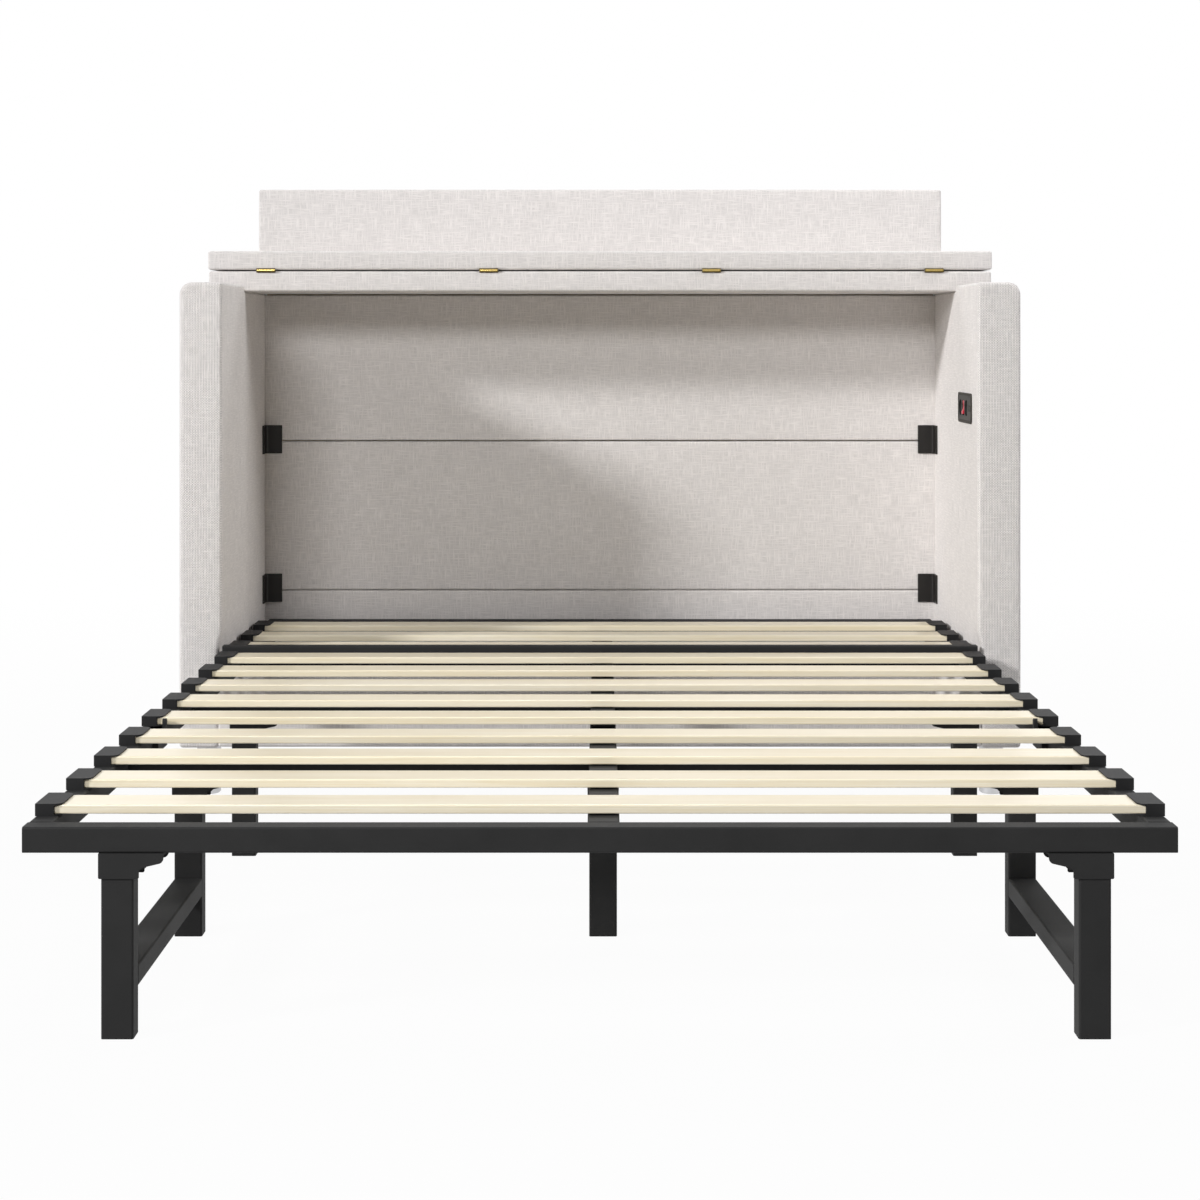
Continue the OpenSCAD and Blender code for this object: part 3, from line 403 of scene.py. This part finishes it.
# The nodes of each finish. Those that neither this nor PADDED names are coated steel.
NODE_FINISH = {
    "plywood": ["side_core_left", "side_core_right", "back_board"],
    "birch": ["rear_slats", "middle_slats", "front_slats"],
    "plastic": ["rear_slat_caps", "middle_slat_caps", "front_slat_caps", "power_housing"],
    "brass": ["board_clips"],
    "hinge": ["lid_hinge_fixed_leaves", "lid_hinge_moving_leaves", "lid_hinge_pins"],
    "foot": ["cabinet_feet"],
    "case": ["power_face"],
    "insert": ["power_insert"],
    "red": ["power_rocker"],
}
PADDED = ["side_cover_left", "side_cover_right", "back_pad_top", "back_pad_middle",
          "back_pad_bottom", "fixed_top", "lower_front_board", "lid_panel", "lid_fascia"]

# Widths of the bevels that break sharp edges, and the nodes that have them
BEVELS = (
    (0.9 * MM, ["rear_slat_caps", "middle_slat_caps", "front_slat_caps"]),
    (0.7 * MM, ["power_face"]),
    (0.6 * MM, ["back_board"]),
    (0.5 * MM, ["pivot_plates", "rail_brackets", "pivot_ears", "power_rocker"]),
    (0.4 * MM, ["board_clips", "power_insert"]),
)
BEVEL_SEGMENTS = 2
SHARP = math.radians(50)   # edges that turn by more than this are sharp
WELD = 0.01 * MM


def bevel_edges(piece, width):
    """Breaks a rigid piece's sharp edges."""
    bevel = piece.modifiers.new("edges", "BEVEL")
    bevel.width, bevel.segments = width, BEVEL_SEGMENTS
    bevel.limit_method, bevel.angle_limit = "ANGLE", SHARP


def finish_cad_nodes():
    """Gives the CAD nodes that show their finishes and bevels."""
    finishes = {name: FINISH[key] for key, names in NODE_FINISH.items() for name in names}
    for name, node in nodes.items():
        if name not in PADDED:
            for place in node.material_slots:
                place.material = finishes.get(name, FINISH["steel"])
    for width, names in BEVELS:
        for name in names:
            nodes[name].modifiers.new("weld", "WELD").merge_threshold = WELD
            bevel_edges(nodes[name], width)


finish_cad_nodes()


# Grids for the padded panels

BEND_ANGLES = (45, 36, 27, 18, 9, 0)    # from the middle of an edge's bend to its end


def smooth_step(x, low, high):
    """0 up to low, 1 from high on, and a smooth rise between them."""
    t = np.clip((x - low) / (high - low), 0.0, 1.0)
    return t * t * (3.0 - 2.0 * t)


def bends(radius):
    """Distances of the grid lines that make a rounded edge, from the box's face inwards."""
    return [radius * (1.0 - math.tan(math.radians(a))) for a in BEND_ANGLES]


def ticks(low, high, near, far, step):
    """Grid lines along one axis: close together round the edges, evenly spaced between."""
    count = max(2, round((high - far[-1] - low - near[-1]) / step))
    middle = np.linspace(low + near[-1], high - far[-1], count + 1)[1:-1]
    return np.array([low + b for b in near] + list(middle) + [high - b for b in reversed(far)])


def grid_lines(low, high, radius, front, corner, outer, step):
    """A panel's grid lines along X, Y and Z. Radii and step are in millimetres.

    outer is 1 if the panel's outer side is towards +X, and -1 if it is towards -X.
    """
    soft = sorted(set(bends(radius * MM)[:-1]) | set(bends(front * MM)))
    wide = sorted(set(soft[:-1]) | set(bends(corner * MM))) if corner else soft
    near = [wide if outer < 0 else soft, soft, soft]
    far = [wide if outer > 0 else soft, soft, wide]
    return [ticks(low[a], high[a], near[a], far[a], step * MM) for a in range(3)]


def box_grid(lines):
    """The skin of a box as quads: the grid's points, and the faces that join them."""
    size = [len(line) for line in lines]
    index, places, faces = {}, [], []

    def corner(key):
        if key not in index:
            index[key] = len(places)
            places.append([lines[a][key[a]] for a in range(3)])
        return index[key]

    for axis in range(3):
        u, v = (axis + 1) % 3, (axis + 2) % 3
        for end in (0, size[axis] - 1):
            for i in range(size[u] - 1):
                for j in range(size[v] - 1):
                    ring = []
                    for du, dv in ((0, 0), (1, 0), (1, 1), (0, 1)):
                        key = [0, 0, 0]
                        key[axis], key[u], key[v] = end, i + du, j + dv
                        ring.append(corner(tuple(key)))
                    faces.append(ring if end else ring[::-1])
    return np.array(places), faces


# Shapes of the padded panels

CROWN_POWER = 4            # how flat a crowned face stays in its middle
WAVES = ((0.6, 6.0, 0), (0.4, 17.0, 5))    # share, scale and change of seed of each waviness
SEED_SHIFT = (3.7, 1.3, 2.9)

FRONT_REACH = 55 * MM      # how far behind a side panel's front its thicker padding ends
FRONT_ROLL = 7.7 * MM      # how much thicker the padding is there, towards the cabinet's inside
ROLL_WIDTH = 0.6           # the share of the panel's width that it takes up
ROLL_FULL = 0.4            # the share of FRONT_REACH where it has its full thickness
PLATE_CLEAR = 14 * MM      # from the pivot plates up to where the thicker padding starts
ROLL_RISE = 38 * MM        # the height over which it comes in

TOP_RISE = 11.0 * MM       # how far the side panels' tops stand up in front of the fixed top
TOP_STEP = 14 * MM         # the length over which they dip to go under it
TOP_MEET = 1.0 * MM        # how far in front of it the dip ends
TOP_SOFT = (80 * MM, 30 * MM)    # depths below the top between which the padding gives way
DIP_LINES = np.arange(-16.0, 4.0, 2.5) * MM    # grid lines of the dip, from the fixed top's front
DIP_CLEAR = 2.0 * MM       # other grid lines stay further from them than this

CREASE = math.radians(60)  # edges of a padded panel that turn by more than this aren't smooth
RIBBED = (0.08, 0.35)      # the ribbed weave comes in as a normal leans this far along its axis


def box_heart(places, low, high, r, big, outer):
    """Nearest points of the panel's inner core, which lies r inside its skin at each point.

    The core is a box. Where there is a larger radius big, the core's outer top edge is rounded,
    so that the panel's own outer top corner has that radius.
    """
    heart = np.clip(places, low + r, high - r)
    if big:
        x = high[0] - big if outer > 0 else low[0] + big
        middle = np.array([x, high[2] - big])
        away = heart[:, [0, 2]] - middle
        beyond = (away[:, 0] * outer > 0) & (away[:, 1] > 0)
        length = np.linalg.norm(away, axis=1)
        reach = big - r[:, 0]
        pull = np.where(beyond & (length > reach), reach / np.maximum(length, TINY), 1.0)
        heart[:, [0, 2]] = middle + away * pull[:, None]
    return heart


def swell(points, normal, low, high, crown):
    """How far each point is lifted by the crowns, given in millimetres, of the panel's faces."""
    share = (points - low) / (high - low)
    flat = 1.0 - np.abs(2.0 * share - 1.0) ** CROWN_POWER
    lift = np.zeros(len(points))
    for axis in range(3):
        u, v = (axis + 1) % 3, (axis + 2) % 3
        face = flat[:, u] * flat[:, v]
        for end, sign in ((0, -1.0), (1, 1.0)):
            facing = np.clip(normal[:, axis] * sign, 0.0, 1.0) ** 2
            lift += crown[axis][end] * MM * face * facing
    return lift


def unevenness(points, seed):
    """Smooth noise from -1 to 1 at each point: broad waves and smaller ones."""
    made = np.zeros(len(points))
    for share, scale, change in WAVES:
        offset = Vector([(seed + change) * shift for shift in SEED_SHIFT])
        made += share * np.array([noise.noise(Vector(p) * scale + offset) for p in points])
    return made


def add_dip_lines(ys):
    """Grid lines along Y with those that the dip under the fixed top needs."""
    dip = TOP_FRONT + DIP_LINES
    away = [y for y in ys if np.min(np.abs(dip - y)) > DIP_CLEAR]
    return np.sort(np.concatenate([away, dip]))


def roll_front_edge(points, low, high, outer):
    """Draws a side panel's front edge towards the cabinet's inside, above the pivot plates."""
    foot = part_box("pivot_plates")[1].z + PLATE_CLEAR
    inside = low[0] if outer > 0 else high[0]
    width = ROLL_WIDTH * (high[0] - low[0])
    share = 1.0 - smooth_step(np.abs(points[:, 0] - inside), 0.0, width)
    share *= 1.0 - smooth_step(points[:, 1], low[1] + ROLL_FULL * FRONT_REACH,
                               low[1] + FRONT_REACH)
    share *= smooth_step(points[:, 2], foot, foot + ROLL_RISE)
    points[:, 0] -= outer * FRONT_ROLL * share


def tuck_under_top(points, top):
    """Brings a side panel's raised top down where the fixed top lies on it."""
    share = smooth_step(points[:, 1], TOP_FRONT - TOP_STEP, TOP_FRONT - TOP_MEET)
    share *= smooth_step(points[:, 2], top - TOP_SOFT[0], top - TOP_SOFT[1])
    points[:, 2] -= TOP_RISE * share


def padded_panel(node, body, radius, crown, corner=0.0, front=0.0, band=(), tufts=0.5,
                 step=14.0, trim=((0, 0), (0, 0), (0, 0)), cuts=(), seed=1):
    """A padded panel in the place of a CAD node. Lengths are in millimetres.

    radius is that of the soft edges, corner a larger one for the outer top edge, crown how far
    the faces swell (low and high along X, Y and Z), band the axes whose faces carry the ribbed
    weave, tufts the unevenness, step the grid's spacing, trim how far the faces stand back from
    the node's box, and cuts the shapes that are taken out for other pieces. front is a larger
    radius round the front face. Only the side panels have it: their front edges are rolled
    inwards, and their tops stand up in front of the fixed top and flatten under the closed lid.
    """
    low, high = (np.array(c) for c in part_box(node))
    low, high = low + np.array(trim)[:, 0] * MM, high - np.array(trim)[:, 1] * MM
    side = front > 0
    if side:
        high[2] += TOP_RISE
    outer = 1 if (low[0] + high[0]) > 0 else -1
    front = max(front, radius)
    lines = grid_lines(low, high, radius, front, corner, outer, step)
    if side:
        lines[1] = add_dip_lines(lines[1])
    places, faces = box_grid(lines)

    forward = 1.0 - smooth_step(places[:, 1], low[1] + front * MM, low[1] + FRONT_REACH)
    r = ((radius + (front - radius) * forward) * MM)[:, None]
    heart = box_heart(places, low, high, r, corner * MM, outer)
    normal = places - heart
    normal = normal / np.maximum(np.linalg.norm(normal, axis=1, keepdims=True), TINY)
    points = heart + normal * r
    lift = swell(points, normal, low, high, crown) + tufts * MM * unevenness(points, seed)
    points = points + normal * lift[:, None]
    if side:
        roll_front_edge(points, low, high, outer)
        tuck_under_top(points, high[2])

    mesh = bpy.data.meshes.new(f"{node}_padded")
    mesh.from_pydata([tuple(p) for p in points], [], faces)
    piece = new_object(f"{node}_padded", mesh)
    for cut in cuts:
        take_out(piece, cut)
    lay_cloth(piece.data, band)
    piece.data.materials.clear()
    piece.data.materials.append(FINISH["linen"])
    piece.data.polygons.foreach_set("use_smooth", [True] * len(piece.data.polygons))
    piece.data.set_sharp_from_angle(angle=CREASE)
    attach(piece, body)
    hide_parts(node)
    if side:
        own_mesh(piece)


def take_out(piece, cutter):
    """Cuts a shape out of a piece, and removes the cutter."""
    cut = piece.modifiers.new("cut", "BOOLEAN")
    cut.operation, cut.solver, cut.object = "DIFFERENCE", "EXACT", cutter
    done = piece.evaluated_get(bpy.context.evaluated_depsgraph_get())
    mesh = bpy.data.meshes.new_from_object(done)
    piece.modifiers.remove(cut)
    piece.data = mesh
    bpy.data.objects.remove(cutter)


def lay_cloth(mesh, band):
    """Cloth coordinates in metres, laid on each face, and where the ribbed band runs."""
    layer = mesh.uv_layers.new(name="cloth")
    spot = mesh.attributes.new("band", "FLOAT", "POINT")
    for face in mesh.polygons:
        axis = max(range(3), key=lambda a: abs(face.normal[a]))
        u, v = ((1, 2), (0, 2), (0, 1))[axis]
        for loop in face.loop_indices:
            co = mesh.vertices[mesh.loops[loop].vertex_index].co
            layer.data[loop].uv = (co[u], co[v])
    normals = np.zeros(len(mesh.vertices) * 3, np.float32)
    mesh.vertex_normals.foreach_get("vector", normals)
    normals = normals.reshape(-1, 3)
    share = np.zeros(len(mesh.vertices), np.float32)
    for axis in band:
        share = np.maximum(share, smooth_step(np.abs(normals[:, axis]), *RIBBED))
    spot.data.foreach_set("value", share.astype(np.float32))


# The padded panels

GROOVE_R, GROOVE_L = 5.1 * MM, 42 * MM
GROOVE_SEGMENTS = 24
RECESS_CLEAR = 1.0 * MM    # room round the power unit's housing
RECESS_OPEN = 10 * MM      # how far its recess reaches out of the side panel's inner face


def cutter_from(made):
    """An object to cut with, from a bmesh, which it frees."""
    return new_object("cutter", mesh_from(made, "cutter"))


def block(low, high):
    """A box between two corners, to cut with."""
    made = bmesh.new()
    bmesh.ops.create_cube(made, size=1.0)
    low, high = Vector(low), Vector(high)
    bmesh.ops.scale(made, vec=high - low, verts=made.verts)
    bmesh.ops.translate(made, vec=(low + high) / 2, verts=made.verts)
    return cutter_from(made)


def rod_along_x(middle, radius, length):
    """A round bar along X, to cut with."""
    made = bmesh.new()
    turn = Matrix.Rotation(math.pi / 2, 4, "Y")
    bmesh.ops.create_cone(made, cap_ends=True, segments=GROOVE_SEGMENTS, radius1=radius,
                          radius2=radius, depth=length, matrix=Matrix.Translation(middle) @ turn)
    return cutter_from(made)


def hinge_grooves():
    """Cutters for the hinges' barrels in the edges of the fixed top and the lid."""
    return [rod_along_x((x, HINGE_Y, HINGE_Z), GROOVE_R, GROOVE_L) for x in HINGES]


def power_recess():
    """A cutter for the right side panel's padding behind the power unit's bezel."""
    low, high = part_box("power_housing")
    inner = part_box("side_cover_right")[0].x - RECESS_OPEN
    return [block((inner, low.y - RECESS_CLEAR, low.z - RECESS_CLEAR),
                  [end + RECESS_CLEAR for end in high])]


def make_padding():
    for side, swells, seed in (("left", (2.8, 0.3), 2), ("right", (0.3, 2.8), 3)):
        padded_panel(f"side_cover_{side}", "cabinet", radius=5.0, corner=24.0, front=7.0,
                     crown=(swells, (1.4, 1.2), (0.0, 2.3)), band=(1,), tufts=0.25,
                     cuts=power_recess() if side == "right" else (), seed=seed)
    for part, ends, seed in (("top", (1.7, 2.4), 4), ("middle", (0.8, 0.8), 5),
                             ("bottom", (0.8, 0.8), 6)):
        padded_panel(f"back_pad_{part}", "cabinet", radius=4.5, crown=((0, 0), (2.2, 0), (0, 0)),
                     trim=((-3, -3), (0, 0), ends), seed=seed)
    padded_panel("fixed_top", "cabinet", radius=5.0,
                 crown=((0.5, 0.5), (0.6, 0.6), (0.0, -0.3)), tufts=0.3, cuts=hinge_grooves(),
                 seed=7)
    padded_panel("lower_front_board", "cabinet", radius=5.0, step=10.0,
                 crown=((0, 0), (0.8, 0.0), (0, 0)), tufts=0.3, seed=8)
    padded_panel("lid_panel", "lid", radius=5.5, crown=((0.6, 0.6), (0.6, 0.8), (-0.3, 0.3)),
                 tufts=0.3, cuts=hinge_grooves(), seed=9)
    padded_panel("lid_fascia", "lid", radius=5.5, crown=((0.6, 0.6), (1.2, 0.8), (0.0, 0.8)),
                 tufts=0.4, seed=10)


make_padding()


# Corner angles: bent steel, one leg on the back wall and one on the side panel

ANGLE_LEG = 39.5 * MM
ANGLE_T = 4.0 * MM
ANGLE_BEND = 5.0 * MM      # radius inside the bend
BEND_STEPS = 6
ANGLE_H = 64.5 * MM
LOWER_DROP = 1.6 * MM      # how far the lower angles' feet are below those of the CAD's blocks
UPPER_DROP = 0.6 * MM      # how far the upper angles' tops are below the blocks'
ANGLE_BEVEL = 1.0 * MM


def angle_outline():
    """The angle's section round its outer corner, with the legs along -X and -Y."""
    arc = [math.radians(90 * i / BEND_STEPS) for i in range(BEND_STEPS + 1)]
    middle = -ANGLE_T - ANGLE_BEND
    inner = [(middle + ANGLE_BEND * math.sin(a), middle + ANGLE_BEND * math.cos(a)) for a in arc]
    return [(0.0, 0.0), (-ANGLE_LEG, 0.0), (-ANGLE_LEG, -ANGLE_T), *inner,
            (-ANGLE_T, -ANGLE_LEG), (0.0, -ANGLE_LEG)]


def corner_angles():
    """Bent angles in the place of the CAD's corner blocks."""
    low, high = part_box("corner_blocks")
    made = bmesh.new()
    for side in (-1, 1):
        for foot in (low.z - LOWER_DROP, high.z - UPPER_DROP - ANGLE_H):
            ring = [made.verts.new((side * (high.x + x), high.y + y, foot))
                    for x, y in angle_outline()]
            face = made.faces.new(ring)
            risen = bmesh.ops.extrude_face_region(made, geom=[face])["geom"]
            bmesh.ops.translate(made, vec=(0, 0, ANGLE_H),
                                verts=[v for v in risen if isinstance(v, bmesh.types.BMVert)])
    bmesh.ops.recalc_face_normals(made, faces=made.faces)
    piece = new_object("corner_angles", mesh_from(made, "corner_angles"))
    piece.data.materials.append(FINISH["angle"])
    bevel_edges(piece, ANGLE_BEVEL)
    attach(piece, "cabinet")
    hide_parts("corner_blocks")


corner_angles()


# Stage and light

FLOOR_HALF = 12.0
FLOOR_LIFT = 0.965         # the share of plain white in what the camera sees of the floor
FLOOR_FADE = (1.6, 4.0)    # distances from the middle over which that share rises to 1
WORLD_STRENGTH = 0.015


def floor_finish():
    """Pale floor: it takes the object's shadow and is lifted to white for the camera."""
    t = Finish("floor", (0.50, 0.50, 0.50), 0.9, Specular_IOR_Level=0.0)
    glow = t.node("ShaderNodeEmission", {"Color": (1, 1, 1, 1), "Strength": 1.0})
    away = t.node("ShaderNodeVectorMath", {0: t.object_space()}, operation="LENGTH")
    lift = t.spread(away.outputs["Value"], *FLOOR_FADE, FLOOR_LIFT, 1.0)
    mixed = t.node("ShaderNodeMixShader", {0: t.product(t.seen(), lift),
                                           1: t.shader.outputs[0], 2: glow.outputs[0]})
    t.links.new(mixed.outputs[0], t.nodes["Material Output"].inputs["Surface"])
    return t.material


def make_floor():
    mesh = bpy.data.meshes.new("floor")
    corners = [(x * FLOOR_HALF, y * FLOOR_HALF, 0)
               for x, y in ((-1, -1), (1, -1), (1, 1), (-1, 1))]
    mesh.from_pydata(corners, [], [(0, 1, 2, 3)])
    mesh.materials.append(floor_finish())
    new_object("floor", mesh)


def world_light(strength):
    """Even light from all round, which the camera sees as white."""
    world = bpy.data.worlds.new("studio")
    world.use_nodes = True
    scene.world = world
    t = Nodes(world.node_tree)
    back = t.nodes["Background"]
    back.inputs["Color"].default_value = (1, 1, 1, 1)
    t.put(back.inputs["Strength"], t.spread(t.seen(), 0.0, 1.0, strength, 1.0))


def area_light(name, place, aim, size, watts):
    data = bpy.data.lights.new(name, "AREA")
    data.shape = "RECTANGLE"
    data.size, data.size_y = size
    data.energy = watts
    lamp = new_object(name, data)
    lamp.location = place
    lamp.rotation_mode = "QUATERNION"
    lamp.rotation_quaternion = (Vector(aim) - Vector(place)).to_track_quat("-Z", "Y")


make_floor()
world_light(WORLD_STRENGTH)
area_light("key", (-23.0, -13.6, 12.7), aim=(0.25, 0.99, 0.62), size=(3.4, 3.4), watts=6500)
area_light("front", (-1.35, -3.8, 2.55), aim=(0.0, 0.99, 0.7), size=(1.3, 0.8), watts=80)
area_light("right", (3.2, 0.2, 3.0), aim=(-0.6, 0.5, 0.5), size=(1.2, 1.2), watts=76)
area_light("over", (0.0, 2.8, 4.0), aim=(0.0, 0.1, 0.4), size=(1.2, 1.2), watts=68)
area_light("behind", (0.0, 3.6, 1.3), aim=(0.0, 1.05, 0.6), size=(1.8, 1.2), watts=50)
